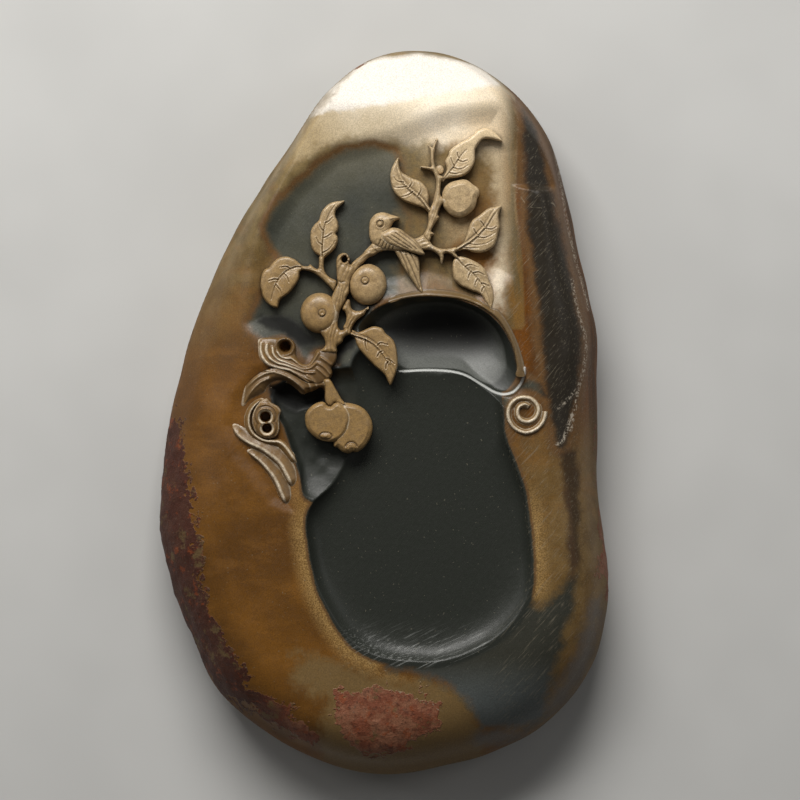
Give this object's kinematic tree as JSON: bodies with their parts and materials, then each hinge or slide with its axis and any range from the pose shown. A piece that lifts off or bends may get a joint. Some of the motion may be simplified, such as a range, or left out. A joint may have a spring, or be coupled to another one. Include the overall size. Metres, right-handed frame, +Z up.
{
  "type": "ink stone",
  "caption": "Natural-outline ink stone with a grinding hall, a deeper ink pool and a branch with persimmons, leaves and a small bird carved in relief.",
  "frame": {"origin": "middle of the bounding box, on the flat back that the stone rests on", "axes": "+Z up out of the carved face, +Y along the length towards the pool end, +X to the right when the face is seen with the pool at the top"},
  "size_m": [0.1479, 0.2392, 0.0404],
  "materials": {
    "stone": "oiled and polished slate with a golden-brown skin over a dark grey-green core",
    "relief": "satin tan skin left on the tops of the relief"
  },
  "bodies": {
    "root": {"stone_slab": "stone", "pool_rim_bead": "relief", "cloud_scroll": "relief", "root_upper": "relief", "root_arch": "relief", "root_lower": "relief", "root_ribbons": "relief", "main_branch": "relief", "branch_stub": "relief", "hollow_fork": "relief", "left_twig": "relief", "upper_twig": "relief", "right_twig": "relief", "fruit_stem": "relief", "leaf_top_right": "relief", "leaf_top_left": "relief", "leaf_right_upper": "relief", "leaf_right_lower": "relief", "leaf_left_upper": "relief", "leaf_left_lower": "relief", "leaf_over_pool": "relief", "fruit_top": "relief", "fruit_middle": "relief", "fruit_left": "relief", "fruit_pair_front": "relief", "fruit_pair_back": "relief", "bud": "relief", "bird_body": "relief", "bird_wing": "relief", "bird_tail": "relief"}
  },
  "joints": []
}
